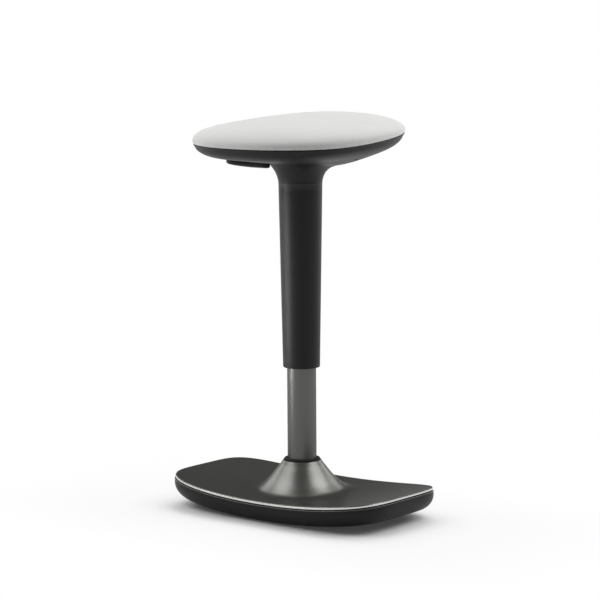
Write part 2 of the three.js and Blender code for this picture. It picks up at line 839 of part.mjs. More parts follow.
function leverHousing() {
  const hole = hubRadius + gap;
  const floor = housingBottom + housingWall;
  const inner = housingRadius - housingWall;
  const high = seatBorder + overrun;
  const cup = turned([
    [hole, housingBottom], [housingRadius, housingBottom], [housingRadius, high],
    [inner, high], [inner, floor], [hole, floor],
  ], medium);
  const above = onPad(new THREE.BoxGeometry(4 * housingRadius, 4 * housingRadius, 4 * overrun)
    .translate(0, 0, plateBack - gap + 2 * overrun));
  const [slotBottom, slotTop] = [floor + gap, armTop + windowRoom];
  const slot = new THREE.BoxGeometry(housingRadius, armWidth + 2 * windowRoom, slotTop - slotBottom)
    .translate(housingRadius, 0, (slotTop + slotBottom) / 2);
  const holes = [slot, crossPin(gap, overrun)].map(besideColumn);
  return piece('lever_housing', carve(cup, { removed: [above, ...holes] }), darkSteel);
}

function taperHub() {
  const bore = (z) => taperRadius(z) + gap;
  return piece('taper_hub', turned([
    [bore(hubBottom), hubBottom], [hubRadius, hubBottom], [hubRadius, hubTop], [bore(springTop), hubTop],
    [bore(springTop), springTop], [bore(springTop - springTaperLength), springTop - springTaperLength],
  ], coarse), darkSteel);
}

// Release lever: drawn in its own upright plane, with X outwards

/** A geometry of the lever's frame, in the stool's own. */
function besideColumn(geometry) {
  return geometry.rotateZ(leverAzimuth);
}

/** The pivot pin's shape, grown by a clearance and lengthened. */
function crossPin(clearance, extra) {
  const radius = pivotRadius + clearance;
  return new THREE.CylinderGeometry(radius, radius, pivotLength + extra, small)
    .translate(pivotReach, 0, pivotHeight);
}

/** A shape of the lever's upright plane, given a width across it. */
function acrossLever(points, width) {
  const shape = new THREE.Shape(points.map(([r, z]) => new THREE.Vector2(r, z)));
  return new THREE.ExtrudeGeometry(shape, { depth: width, bevelEnabled: false })
    .translate(0, 0, -width / 2).rotateX(PI / 2);
}

/** An upright block along the lever with a round outer end, in plan as wide as the paddle or wider. */
function paddleBlock(room) {
  const half = paddleWidth / 2 + room;
  const start = paddleRoot - room;
  const end = paddleTip + room;
  const corner = half / 2;
  const shape = new THREE.Shape();
  shape.moveTo(start + corner, -half);
  shape.lineTo(end - half, -half);
  shape.absarc(end - half, 0, half, -PI / 2, PI / 2, false);
  shape.lineTo(start + corner, half);
  shape.quadraticCurveTo(start, half, start, half - corner);
  shape.lineTo(start, corner - half);
  shape.quadraticCurveTo(start, -half, start + corner, -half);
  const options = { depth: neckDepth, bevelEnabled: false, curveSegments: small };
  return new THREE.ExtrudeGeometry(shape, options).translate(0, 0, sleeveTop);
}

function leverPieces() {
  const tongueBottom = springTop - tongueDrop;
  const tongueTop = tongueBottom + tongueHeight;
  const nose = pinTop + gap;
  const bend = paddleRoot - tongueHeight;
  const arm = [
    [-armNose, armTop], [-armNose, nose], [pivotReach - 2 * pivotRadius, nose],
    [pivotReach + 2 * pivotRadius, hubTop],
    [bend, tongueBottom + tongueHeight / 2], [tongueStart, tongueBottom], [tongueEnd, tongueBottom],
    [tongueEnd, tongueTop], [tongueStart + armNose, tongueTop], [bend + 2 * armNose, hubTop - pivotRadius],
    [pivotReach + 4 * pivotRadius, pivotHeight + gap], [pivotReach + 2 * pivotRadius, armTop],
  ];
  const side = paddleShares.map(([out, up]) => [
    lerp(paddleRoot, paddleTip, out), springTop - paddleDrop + up * paddleHeight,
  ]);
  const pocket = [
    [paddleRoot - gap, armTop], [paddleRoot - gap, tongueBottom - gap], [tongueEnd + gap, tongueBottom - gap],
    [tongueEnd + gap, tongueTop + gap], [tongueStart + armNose + gap, tongueTop + gap],
    [tongueStart + gap, armTop],
  ];
  const grip = common(acrossLever(side, 2 * paddleWidth), paddleBlock(0));
  return [
    piece('lever_arm', carve(acrossLever(arm, armWidth), { removed: [crossPin(gap, overrun)] }), darkSteel),
    piece('lever_paddle', carve(grip, { removed: [acrossLever(pocket, armWidth + 2 * gap)] }), blackPlastic),
  ];
}

function leverPivot() {
  return piece('lever_pivot', crossPin(0, 0), steel);
}

// The stool, in the groups that move together
function group(...pieces) {
  return new THREE.Group().add(...pieces);
}

const base = group(
  deckCover(), edgeTrim(), baseBody(), rockerPlate(), solePad(), columnSocket(), ...socketBolts(),
  ...baseScrews(), bootSeal(), ...columnPieces(),
);
const rod = group(...rodPieces());
const pad = group(
  seatBoard(), seatFoam(), seatCover(), seatPlate(), ...seatBoltPieces(), ...shellScrews(),
);
pad.position.z = seatBorder;
pad.rotation.x = seatTilt;
const seat = group(...springPieces(), ...sleevePieces(), seatShell(), leverHousing(), taperHub(), pad);
const lever = group(...leverPieces(), leverPivot());
lever.rotation.z = leverAzimuth;

const stool = group(base, rod, seat, lever, releasePin());
stool.name = 'perch_stool';

export default stool;
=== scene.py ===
# The looks of a perch stool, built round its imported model. Metres, in the model's own frame.

import math

import bmesh
import bpy
from mathutils import Matrix, Vector
from mathutils.kdtree import KDTree

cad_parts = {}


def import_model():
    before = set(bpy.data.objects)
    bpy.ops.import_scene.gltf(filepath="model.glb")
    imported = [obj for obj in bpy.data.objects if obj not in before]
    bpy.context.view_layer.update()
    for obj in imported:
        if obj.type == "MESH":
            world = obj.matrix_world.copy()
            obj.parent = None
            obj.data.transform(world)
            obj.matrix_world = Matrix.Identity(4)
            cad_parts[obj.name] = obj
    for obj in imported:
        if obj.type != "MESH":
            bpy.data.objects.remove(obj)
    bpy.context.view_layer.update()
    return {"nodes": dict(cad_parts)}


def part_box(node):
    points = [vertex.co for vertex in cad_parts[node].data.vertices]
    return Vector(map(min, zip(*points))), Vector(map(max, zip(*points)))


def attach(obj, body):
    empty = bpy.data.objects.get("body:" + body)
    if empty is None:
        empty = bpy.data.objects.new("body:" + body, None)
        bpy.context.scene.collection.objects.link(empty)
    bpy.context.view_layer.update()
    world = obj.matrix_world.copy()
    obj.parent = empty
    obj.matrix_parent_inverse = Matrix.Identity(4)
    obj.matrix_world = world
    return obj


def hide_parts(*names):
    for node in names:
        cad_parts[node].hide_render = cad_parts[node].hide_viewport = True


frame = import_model()

# Camera: its place round the column's axis, its height, how it is turned and its lens
CAMERA_AZIMUTH = math.radians(38.95)
CAMERA_REACH = 4.388
CAMERA_HEIGHT = 0.967
CAMERA_PITCH = math.radians(7.826)
CAMERA_YAW = math.radians(0.801)
CAMERA_ROLL = math.radians(-0.48)
CAMERA_LENS = 152.7
CAMERA_SENSOR = 36
CAMERA_CLIP = 100
CAMERA_SHIFT = (0.0568, 0.0083)

# World: its light on dull surfaces, and how bright the sky above the white horizon looks in glossy ones
WORLD_LIGHT = 0.15
DOME_SHINE = 0.13
HORIZON = (0.0, 0.07)

# Floor: how white it is made at some reaches from a centre, where a reach of 1 is the base's outline
# Less white near the outline leaves a painted shadow halo round the base, over its rendered shadow
FLOOR_HALF_SIZE = 30
FLOOR_COLOR = (0.85, 0.85, 0.85)
SHADOW_HALO_CENTRE = (0.018, -0.03)
SHADOW_HALO_STOPS = (
    (0.82, 0.04), (0.95, 0.13), (1.015, 0.36), (1.07, 0.57), (1.17, 0.74), (1.35, 0.845), (1.9, 0.92),
    (2.7, 1.0),
)

# Lamps: name, place to the camera's right and towards it, height, size, power, the height on the column's
# axis that the lamp faces, and its spread in degrees
SOFTBOXES = (
    ("top_softbox", 0, -0.6, 2.5, (4.4, 2.0), 22, 0.3, 180),
    ("left_high_softbox", -1.6, -0.1, 2.0, (1.9, 1.8), 21, 0.3, 180),
    ("right_high_softbox", 1.6, 0.05, 2.0, (1.9, 1.8), 27, 0.3, 180),
    ("left_rear_softbox", -1.7, -1.9, 1.15, (1.2, 1.3), 11.5, 0.3, 180),
    ("right_rear_softbox", 1.7, -1.9, 1.15, (1.2, 1.3), 10.5, 0.3, 180),
    ("left_low_softbox", -1.6, 0.15, 0.35, (2.4, 0.3), 2.2, 0.38, 20),
    ("right_low_softbox", 1.4, -0.8, 0.35, (1.2, 0.7), 0.8, 0.3, 180),
)

# Fineness of the meshes: facets of a full turn, and the angle from which an edge is shaded sharp
FACETS = 192
TUBE_FACETS = 128
SEAL_FACETS = 96
RECESS_FACETS = 24
SHARP_ANGLE = math.radians(40)
ON_AXIS = 1e-6

# Base
BASE_HALF_LENGTH = 0.2292
BASE_HALF_WIDTH = 0.13
BASE_POWERS = (3.45, 4.85)
ROCKER_SAG = 0.018
LAND_HALF_LENGTH = 0.03
RIM_HEIGHT = 0.038
DECK_THICKNESS = 0.0023
DECK_LIP = 0.001
DECK_EDGE = 0.0008
DECK_MARGINS = (0.004, 0.002)
TRIM_WIDTH = 0.004
TRIM_SHOWN = 0.0006
TRIM_DEPTH = 0.0027
TRIM_BOTTOM = 0.0333
TRIM_EDGE = 0.0009
TRIM_SIDE_GAP = 0.0003
TRIM_TOP_GAP = 0.0002
BODY_UNDERSIDE = 0.0026
BODY_SKIRT = 0.0012
BODY_SKIRT_MARGINS = (0.001, 0.003)
BODY_BULGE = 0.0013
BODY_CORNER_INSET = 0.019
BODY_CORNER_HEIGHT = 0.023
BODY_TOP = 0.0343
BODY_LIP = 0.0018
# How far up a lip face must point to get the painted highlight
LIP_HIGHLIGHT_SLOPE = 0.15
BODY_FLOOR = 0.003
BODY_INSIDE = ((0.009, 0), (0.009, 0.004), (0.02, 0.006))
BODY_FLOOR_INSET = 0.024
GROOVE_DEPTH = 0.003
GROOVE_HEIGHT = 0.0026
SOLE_INSET = 0.03
SOLE_THICKNESS = 0.0023
SOLE_EDGE = 0.0013
SOLE_MARGINS = (0.0015, 0.002)
SCREW_RECESS_RADIUS = 0.0044
BELOW_BASE = -0.01
BELOW_SHELL = -0.1
BASE_SCREW_SINK = 0.0076
END_SCREW = (0.1924, 0.08)
SIDE_SCREW = (0.0, 0.1098)

# Boot. Here and below, shares are the points of a line, as shares of its way outwards and upwards.
BOOT_TOP = 0.0913
BOOT_TOP_RADIUS = 0.0333
BOOT_THROAT = 0.0286
BOOT_FOOT = 0.096
BOOT_LIP = 0.0014
BOOT_LIP_DEPTH = 0.005
BOOT_UNDER = 0.09
BOOT_INSIDE = ((0.064, 0.0445), (0.0535, 0.0555), (0.0375, 0.0745))
BOOT_INSIDE_TOP = 0.008
BOOT_SHARES = (
    (0, 0.985), (0.0702, 0.861), (0.1404, 0.754), (0.2679, 0.561), (0.37, 0.421), (0.4976, 0.27),
    (0.6284, 0.144), (0.7289, 0.064), (0.8198, 0.024), (0.9187, 0.006), (1, 0),
)
SEAL_REACH = 0.0015
SEAL_GAP = 0.0003
SEAL_DEPTH = 0.006
SEAL_CAP = 0.0026
SEAL_BEAD = (0.0014, 0.00115)
SEAL_BEAD_HEIGHT = 0.00145
SEAL_EDGE = 0.0008

# Column and sleeve
COLUMN_RADIUS = 0.0254
COLUMN_WALL = 0.002
COLUMN_EDGE = 0.0008
SLEEVE_BOTTOM_RADIUS = 0.0323
SLEEVE_TOP_RADIUS = 0.0381
SLEEVE_WALL = 0.003
SLEEVE_EDGE = 0.0015
SLEEVE_BEVEL = 0.001
SLEEVE_RINGS = 24

# Seat
SEAT_HALF_WIDTH = 0.1755
SEAT_HALF_DEPTH = 0.1785
SEAT_POWERS = (2.2, 2.2)
SEAT_FORWARD = 0.003
SEAT_BORDER = 0.6553
SEAT_TILT = math.radians(3.45)
NECK_GAP = 0.0001
FRONT_RISE = 0.0121
FRONT_POWER = 1.5
SHELL_WALL = 0.003
SHELL_LEAN = 0.6
SHELL_EDGE = 0.0008
SHELL_INSIDE_END = 0.004
SHELL_SCREW_CIRCLE = 0.12
SHELL_SCREW_LEVEL = -0.0113
CROWN_HEIGHT = 0.033
CROWN_SWAY = 0.12
BOARD_LEVEL = 0.0083
SHELL_SHARES = (
    (0, 0), (0.006, 0.076), (0.021, 0.158), (0.045, 0.234), (0.087, 0.3), (0.159, 0.347), (0.269, 0.375),
    (0.45, 0.443), (0.669, 0.58), (0.851, 0.724), (0.953, 0.851), (1, 0.99),
)
CROWN_SHARES = (
    (0.992, 0), (1.001, 0.035), (1.004, 0.14), (1.0006, 0.267), (0.9835, 0.4), (0.948, 0.541), (0.895, 0.667),
    (0.798, 0.8), (0.598, 0.9185), (0.342, 0.978), (0, 1),
)
PLAN_SHARE = 0.342
TILT_SHARE = 0.61
LIFT_SHARES = (0.342, 0.58, 0.98)
RIM_RAISE = 0.0018
RIM_DIP = 0.0034
RIM_DIP_ANGLE = math.radians(-24)
RIM_DIP_POWER = 6
RIM_DIP_SHARES = (0.85, 0.98)
RIM_DIP_HEIGHT = 0.022

# Cushion: its size before it swells, its cloth, and how the cloth's moves are limited, eased and carried over
PAD_SHRINK = (1.003, 0.98)
PAD_UNDERSIDE = 0.0005
PAD_UNDERSIDE_START = 0.03
PAD_UNDERSIDE_MARGIN = 0.004
PAD_VOXEL = 0.005
PAD_EVENING = 3
PAD_PRESSURE = 4.0
PAD_STIFFNESS = 80
PAD_BENDING = 20
PAD_QUALITY = 8
PAD_FRAMES = 20
PAD_REACH = 0.002
PAD_EASING = 12
PAD_HELD = 0.007
PAD_NEAR = 16

# Release lever
LEVER_AZIMUTH = math.radians(-142.9)
PADDLE_ROOT = 0.052
PADDLE_TIP = 0.128
PADDLE_WIDTH = 0.034
PADDLE_BOTTOM = 0.6019
PADDLE_HEIGHT = 0.0144
PADDLE_RAISE = 0.004
PADDLE_WAIST = (0.018, 0.5)
PADDLE_POWERS = (2.4, 2.2)
PADDLE_STATIONS = 40
PADDLE_FACETS = 32
PADDLE_LOWER_SHARES = (
    (0, 0.3), (0.01, 0.139), (0.034, 0.038), (0.082, 0.014), (0.178, 0.045), (0.438, 0.145), (0.685, 0.3),
    (0.863, 0.455), (0.959, 0.59), (1, 0.75),
)
PADDLE_UPPER_SHARES = ((0, 0.68), (0.03, 0.9), (0.096, 0.958), (0.945, 1), (0.985, 0.96), (1, 0.8))
WINDOW_ROOM = 0.003
WINDOW_SIDE_ROOM = 0.0015
WINDOW_BOTTOM = 0.59
WINDOW_HEIGHT = 0.055


# Mesh tools

def lerp(a, b, share):
    return a + (b - a) * share


def ease(value, start, end):
    """From 0 at start to 1 at end, softly."""
    share = min(1, max(0, (value - start) / (end - start)))
    return share * share * (3 - 2 * share)


def through(points, steps):
    """A smooth curve through a few points, with a number of steps between each two."""
    points = [Vector((*point, 0)) for point in points]
    ends = [2 * points[0] - points[1], *points, 2 * points[-1] - points[-2]]
    curve = []
    for before, start, end, after in zip(ends, ends[1:], ends[2:], ends[3:]):
        gap = (end - start).length
        out = (end - before) * (gap / ((end - start).length + (start - before).length))
        back = (after - start) * (gap / ((after - end).length + (end - start).length))
        for i in range(steps):
            t = i / steps
            curve.append(
                (2 * t**3 - 3 * t**2 + 1) * start + (t**3 - 2 * t**2 + t) * out
                + (3 * t**2 - 2 * t**3) * end + (t**3 - t**2) * back
            )
    return [(p.x, p.y) for p in [*curve, points[-1]]]


def rounded_corners(points, radius, steps=4):
    """A closed outline with each of its corners turned into an arc."""
    outline = []
    count = len(points)
    for i, point in enumerate(points):
        corner = Vector(point)
        before = Vector(points[i - 1]) - corner
        after = Vector(points[(i + 1) % count]) - corner
        reach = min(radius, 0.45 * before.length, 0.45 * after.length)
        start = corner + before.normalized() * reach
        end = corner + after.normalized() * reach
        for k in range(steps + 1):
            t = k / steps
            place = start * (1 - t) ** 2 + corner * 2 * t * (1 - t) + end * t**2
            outline.append((place.x, place.y))
    return outline


def quarter(centre, radii, start, end, steps):
    """Part of an oval round a centre, between two angles in degrees."""
    turns = [math.radians(lerp(start, end, i / steps)) for i in range(steps + 1)]
    return [(centre[0] + radii[0] * math.cos(t), centre[1] + radii[1] * math.sin(t)) for t in turns]


def level(z, start, end, steps):
    """A level stretch of a profile."""
    return [(lerp(start, end, i / steps), z) for i in range(steps + 1)]


def turned(name, profile, facets, shape=None):
    """A mesh turned about Z from (radius, z) points. A shape function then moves (radius, angle, z)."""
    shape = shape or (lambda r, a, z: (r * math.cos(a), r * math.sin(a), z))
    on_axis = profile[0][0] < ON_AXIS and profile[-1][0] < ON_AXIS
    mesh = bmesh.new()
    rings = []
    for r, z in profile:
        count = 1 if r < ON_AXIS else facets
        rings.append([mesh.verts.new(shape(r, 2 * math.pi * i / facets, z)) for i in range(count)])
    pairs = list(zip(rings, rings[1:])) + ([] if on_axis else [(rings[-1], rings[0])])
    for low, high in pairs:
        for i in range(facets):
            corners = [low[i % len(low)], low[(i + 1) % len(low)],
                       high[(i + 1) % len(high)], high[i % len(high)]]
            corners = list(dict.fromkeys(corners))
            if len(corners) > 2:
                mesh.faces.new(corners)
    return as_object(name, mesh)


def as_object(name, mesh):
    """A named object of a bmesh, with its faces out and shaded smooth except at sharp edges."""
    bmesh.ops.recalc_face_normals(mesh, faces=mesh.faces)
    data = bpy.data.meshes.new(name)
    mesh.to_mesh(data)
    mesh.free()
    data.shade_smooth()
    data.set_sharp_from_angle(angle=SHARP_ANGLE)
    made = bpy.data.objects.new(name, data)
    bpy.context.scene.collection.objects.link(made)
    return made


def applied(piece):
    """A piece with its modifiers applied."""
    bpy.context.view_layer.update()
    graph = bpy.context.evaluated_depsgraph_get()
    data = bpy.data.meshes.new_from_object(piece.evaluated_get(graph))
    piece.modifiers.clear()
    old = piece.data
    piece.data = data
    data.name = piece.name
    bpy.data.meshes.remove(old)
    return piece


def cut(piece, tools):
    """A piece with some solids cut from it."""
    for tool in tools:
        change = piece.modifiers.new("cut", "BOOLEAN")
        change.operation = "DIFFERENCE"
        change.solver = "EXACT"
        change.object = tool
    applied(piece)
    piece.data.shade_smooth()
    piece.data.set_sharp_from_angle(angle=SHARP_ANGLE)
    for tool in tools:
        bpy.data.objects.remove(tool)
    return piece


def upright(place, radius, bottom, top):
    """An upright cylinder, to cut with."""
    tool = turned("tool", [(0, bottom), (radius, bottom), (radius, top), (0, top)], RECESS_FACETS)
    tool.data.transform(Matrix.Translation((place[0], place[1], 0)))
    return tool


def dressed(piece, body, material, slot, *nodes):
    """A piece that rides on a body and stands for some CAD nodes, with its material."""
    piece.data.materials.clear()
    piece.data.materials.append(material)
    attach(piece, body)
    if nodes:
        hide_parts(*nodes)
    return piece


# Shapes of the object: its plan outlines, its rocker curve and its seat dish

def outline(half_x, half_y, powers, angle):
    """A point of an outline with two half axes and two corner powers."""
    c, s = math.cos(angle), math.sin(angle)
    return (half_x * math.copysign(abs(c) ** (2 / powers[0]), c),
            half_y * math.copysign(abs(s) ** (2 / powers[1]), s))


RIM_BAND = BASE_HALF_LENGTH - SOLE_INSET


def base_plan(radius, angle):
    """Where a turned point lies in the base's plan: round at the boot, then the base's own outline."""
    inset = BASE_HALF_LENGTH - radius
    if radius >= RIM_BAND:
        return outline(radius, BASE_HALF_WIDTH - inset, BASE_POWERS, angle)
    inner = min(radius, BOOT_FOOT)
    share = max(0, (radius - BOOT_FOOT) / (RIM_BAND - BOOT_FOOT))
    edge = outline(RIM_BAND, BASE_HALF_WIDTH - SOLE_INSET, BASE_POWERS, angle)
    return lerp(inner * math.cos(angle), edge[0], share), lerp(inner * math.sin(angle), edge[1], share)


def rise(x):
    """How far the rocker curve lifts a place along the base."""
    return ROCKER_SAG * (x * x - LAND_HALF_LENGTH**2) / BASE_HALF_LENGTH**2


def rocking(radius, angle, z):
    """A turned point given the base's plan and its rocker curve."""
    x, y = base_plan(radius, angle)
    return x, y, z + rise(x)


def rocking_deck(radius, angle, z):
    """As rocking, but level at the boot's mouth."""
    x, y = base_plan(radius, angle)
    return x, y, z + rise(x) * ease(radius, BOOT_TOP_RADIUS, BOOT_FOOT)


def seat_outline(radius, angle):
    return outline(radius, radius * SEAT_HALF_DEPTH / SEAT_HALF_WIDTH, SEAT_POWERS, angle)


def rim_dip(radius, angle):
    """How far the line between shell and cushion is let down: raised all round, but dipping at both sides."""
    side = math.atan2(math.sin(angle), abs(math.cos(angle)))
    share = max(0, math.cos(side - RIM_DIP_ANGLE)) ** RIM_DIP_POWER
    start, full = (part * SEAT_HALF_WIDTH for part in RIM_DIP_SHARES)
    return (RIM_DIP * share - RIM_RAISE) * ease(radius, start, full)


def seat_formed(radius, angle, z):
    """A turned point given the seat's plan, lifted at the front and tilted away from the neck."""
    squared = ease(radius, PLAN_SHARE * SEAT_HALF_WIDTH, SEAT_HALF_WIDTH)
    edge = seat_outline(radius, angle)
    x = lerp(radius * math.cos(angle), edge[0], squared)
    y = lerp(radius * math.sin(angle), edge[1] - SEAT_FORWARD, squared)
    tilted = y * math.tan(SEAT_TILT) * ease(radius, SLEEVE_TOP_RADIUS, TILT_SHARE * SEAT_HALF_WIDTH)
    full, fading, gone = (share * SEAT_HALF_WIDTH for share in LIFT_SHARES)
    front = ((1 - math.sin(angle)) / 2) ** FRONT_POWER
    lift = FRONT_RISE * front * ease(radius, SLEEVE_TOP_RADIUS, full) * (1 - ease(radius, fading, gone))
    dip = rim_dip(radius, angle) * ease(z, SEAT_BORDER - RIM_DIP_HEIGHT, SEAT_BORDER)
    return x, y, z + tilted + lift - dip


def on_pad_frame():
    """The pad's tilted frame, in the stool's own."""
    return Matrix.Translation((0, 0, SEAT_BORDER)) @ Matrix.Rotation(SEAT_TILT, 4, "X")


def pad_formed(radius, angle, z):
    """A turned point given the cushion's form: its crown falls to the sides and rises to front and back."""
    x, y = seat_outline(radius, angle)
    sway = CROWN_SWAY * math.cos(2 * angle) * ease(radius, 0, PLAN_SHARE * SEAT_HALF_WIDTH)
    z -= sway * max(0, z - BOARD_LEVEL) + rim_dip(radius, angle) * (1 - ease(z, 0, RIM_DIP_HEIGHT))
    return on_pad_frame() @ Vector((x, y - SEAT_FORWARD * min(1, radius / SEAT_HALF_WIDTH), z))


# Materials

WAVES_PER_SCALE = 20


def material(name, color, roughness, metallic=0.0, **sockets):
    """A Principled material, with its uniform values set on the shader's own sockets."""
    made = bpy.data.materials.new(name)
    made.use_nodes = True
    shader = made.node_tree.nodes["Principled BSDF"]
    values = {"Base Color": (*color, 1), "Roughness": roughness, "Metallic": metallic, **sockets}
    for socket, value in values.items():
        shader.inputs[socket].default_value = value
    return made


def add(made, kind, **sockets):
    """A node in a material, with its sockets set or linked by name."""
    node = made.node_tree.nodes.new(kind)
    for socket, value in sockets.items():
        socket = node.inputs[socket.replace("_", " ")]
        if isinstance(value, bpy.types.NodeSocket):
            made.node_tree.links.new(value, socket)
        else:
            socket.default_value = value
    return node


def shader_of(made):
    return made.node_tree.nodes["Principled BSDF"]


def stretched(made, scale=(1, 1, 1), centre=(0, 0)):
    """The object's own coordinates, measured from a centre and scaled."""
    place = made.node_tree.nodes.new("ShaderNodeTexCoord").outputs["Object"]
    start = (-centre[0] * scale[0], -centre[1] * scale[1], 0)
    return add(made, "ShaderNodeMapping", Vector=place, Location=start, Scale=scale).outputs["Vector"]


def noise(made, scale, detail=2.0, stretch=(1, 1, 1)):
    """A noise texture over the object's own coordinates."""
    place = stretched(made, stretch)
    return add(made, "ShaderNodeTexNoise", Vector=place, Scale=scale, Detail=detail).outputs["Fac"]


def spread(made, value, low, high):
    """A 0 to 1 value spread between two others."""
    return add(made, "ShaderNodeMapRange", Value=value, To_Min=low, To_Max=high).outputs["Result"]


def mottled(made, value, first, second):
    """Base colour between two colours, by a value."""
    mix = made.node_tree.nodes.new("ShaderNodeMix")
    mix.data_type = "RGBA"
    made.node_tree.links.new(value, mix.inputs[0])
    mix.inputs[6].default_value = (*first, 1)
    mix.inputs[7].default_value = (*second, 1)
    made.node_tree.links.new(mix.outputs[2], shader_of(made).inputs["Base Color"])


def uneven(made, value, low, high):
    """Roughness between two values."""
    made.node_tree.links.new(spread(made, value, low, high), shader_of(made).inputs["Roughness"])


def bumped(made, height, distance, strength=1.0):
    """A bump of a real height."""
    bump = add(made, "ShaderNodeBump", Height=height, Distance=distance, Strength=strength)
    made.node_tree.links.new(bump.outputs["Normal"], shader_of(made).inputs["Normal"])


def metallic_paint(name, color, flake, metallic=0.85):
    """Satin metallic paint: fine flakes under a soft gloss."""
    made = material(name, color, 0.32, metallic, **{"Specular Tint": (0.5, 0.5, 0.5, 1)})
    flakes = noise(made, scale=2600, detail=1)
    mottled(made, flakes, [c * (1 - flake) for c in color], [c * (1 + flake) for c in color])
    uneven(made, noise(made, scale=40, detail=3), low=0.29, high=0.35)
    bumped(made, noise(made, scale=900, detail=2), distance=0.00003)
    return made


def lined(name, color, roughness, stretch, metallic=1.0):
    """Bare metal or wood, with fine lines along one direction."""
    made = material(name, color, roughness, metallic)
    lines = noise(made, scale=1400, detail=3, stretch=stretch)
    uneven(made, lines, low=roughness * 0.85, high=roughness * 1.2)
    bumped(made, lines, distance=0.00001)
    return made


def grained_plastic(name, color, roughness, grain, shine=0.28):
    """Moulded plastic with a spark-eroded grain, a little lighter in patches along its sharp edges: edge wear
    that also paints a highlight on rounded shoulders.
    """
    made = material(name, color, roughness, **{"Specular IOR Level": shine})
    cells = add(made, "ShaderNodeTexVoronoi", Vector=stretched(made), Scale=grain)
    fine = noise(made, scale=grain * 1.7, detail=3)
    heights = add(made, "ShaderNodeMath", Value=cells.outputs["Distance"])
    heights.operation = "ADD"
    made.node_tree.links.new(fine, heights.inputs[1])
    bumped(made, heights.outputs["Value"], distance=0.00004)
    uneven(made, noise(made, scale=25, detail=2), low=roughness * 0.92, high=roughness * 1.1)
    # Convex edges lighter by pointiness: edge wear, and a painted highlight on rounded shoulders such as the
    # base body's lip
    edges = made.node_tree.nodes.new("ShaderNodeNewGeometry").outputs["Pointiness"]
    wear_and_highlight = add(made, "ShaderNodeMapRange", Value=edges, From_Min=0.53, From_Max=0.6)
    patchy = add(made, "ShaderNodeMath", Value=wear_and_highlight.outputs["Result"])
    patchy.operation = "MULTIPLY"
    patches = spread(made, noise(made, scale=60, detail=3), low=0.5, high=1.0)
    made.node_tree.links.new(patches, patchy.inputs[1])
    mottled(made, patchy.outputs["Value"], color, [c + 0.04 for c in color])
    return made


def rubber(name, color):
    """Matte rubber with a pebbled face."""
    made = material(name, color, 0.75)
    bumped(made, noise(made, scale=500, detail=4), distance=0.0001)
    uneven(made, noise(made, scale=60, detail=2), low=0.68, high=0.85)
    return made


def woven(name, color, thread):
    """Plain upholstery cloth: over and under threads, with a little fuzz."""
    made = material(name, color, 0.82)
    shader = shader_of(made)
    shader.inputs["Sheen Weight"].default_value = 0.25
    shader.inputs["Sheen Roughness"].default_value = 0.4
    place = stretched(made)
    bands = []
    for direction in ("X", "Y"):
        wave = add(made, "ShaderNodeTexWave", Vector=place, Scale=1 / (thread * WAVES_PER_SCALE),
                   Distortion=0.6, Detail=1.0)
        wave.bands_direction = direction
        bands.append(wave.outputs["Fac"])
    weave = add(made, "ShaderNodeMath", Value=bands[0])
    weave.operation = "MULTIPLY"
    made.node_tree.links.new(bands[1], weave.inputs[1])
    fuzz = noise(made, scale=700, detail=4)
    height = add(made, "ShaderNodeMath", Value=weave.outputs["Value"])
    height.operation = "ADD"
    made.node_tree.links.new(fuzz, height.inputs[1])
    bumped(made, height.outputs["Value"], distance=0.00008, strength=0.7)
    mottled(made, height.outputs["Value"], [c * 0.95 for c in color], [c * 1.03 for c in color])
    uneven(made, fuzz, low=0.78, high=0.9)
    return made


DECK = metallic_paint("deck_metal", (0.2, 0.2, 0.188), flake=0.12)
COLUMN = metallic_paint("column_metal", (0.125, 0.125, 0.12), flake=0.06, metallic=0.7)
TRIM = lined("trim_metal", (0.66, 0.66, 0.64), 0.26, stretch=(0.05, 1, 1))
PLASTIC = grained_plastic("black_plastic", (0.004, 0.004, 0.004), 0.5, grain=1500)
BODY_PLASTIC = grained_plastic("body_plastic", (0.005, 0.005, 0.005), 0.45, grain=1300, shine=0.24)
# A lighter plastic for the base body's lip: a painted highlight along its shoulder under the groove
LIP_PAINTED_HIGHLIGHT = grained_plastic("body_lip_painted_highlight", (0.09, 0.09, 0.09), 0.4, grain=1300, shine=0.5)
# The lever's plastic is lighter than the shell's black: painted light that makes up for the shade the paddle
# sits in
LEVER_LIGHTENED_PLASTIC = grained_plastic("lever_plastic_painted_light", (0.028, 0.028, 0.026), 0.5, grain=1500, shine=0.12)
RUBBER = rubber("black_rubber", (0.012, 0.012, 0.012))
STEEL = lined("bright_steel", (0.5, 0.5, 0.51), 0.35, stretch=(1, 1, 0.1))
DARK_STEEL = metallic_paint("dark_steel", (0.04, 0.04, 0.042), flake=0.05)
NYLON = grained_plastic("nylon", (0.7, 0.68, 0.6), 0.5, grain=1200)
# The seat board is made near black so that its edge draws a dark line between cushion and shell: painted
# shade in the gap
SHADE_GAP_PLYWOOD = lined("plywood_painted_shade", (0.03, 0.024, 0.02), 0.75, stretch=(1, 0.05, 1), metallic=0.0)
CLOTH = woven("seat_fabric", (0.72, 0.72, 0.71), thread=0.0007)


# Base

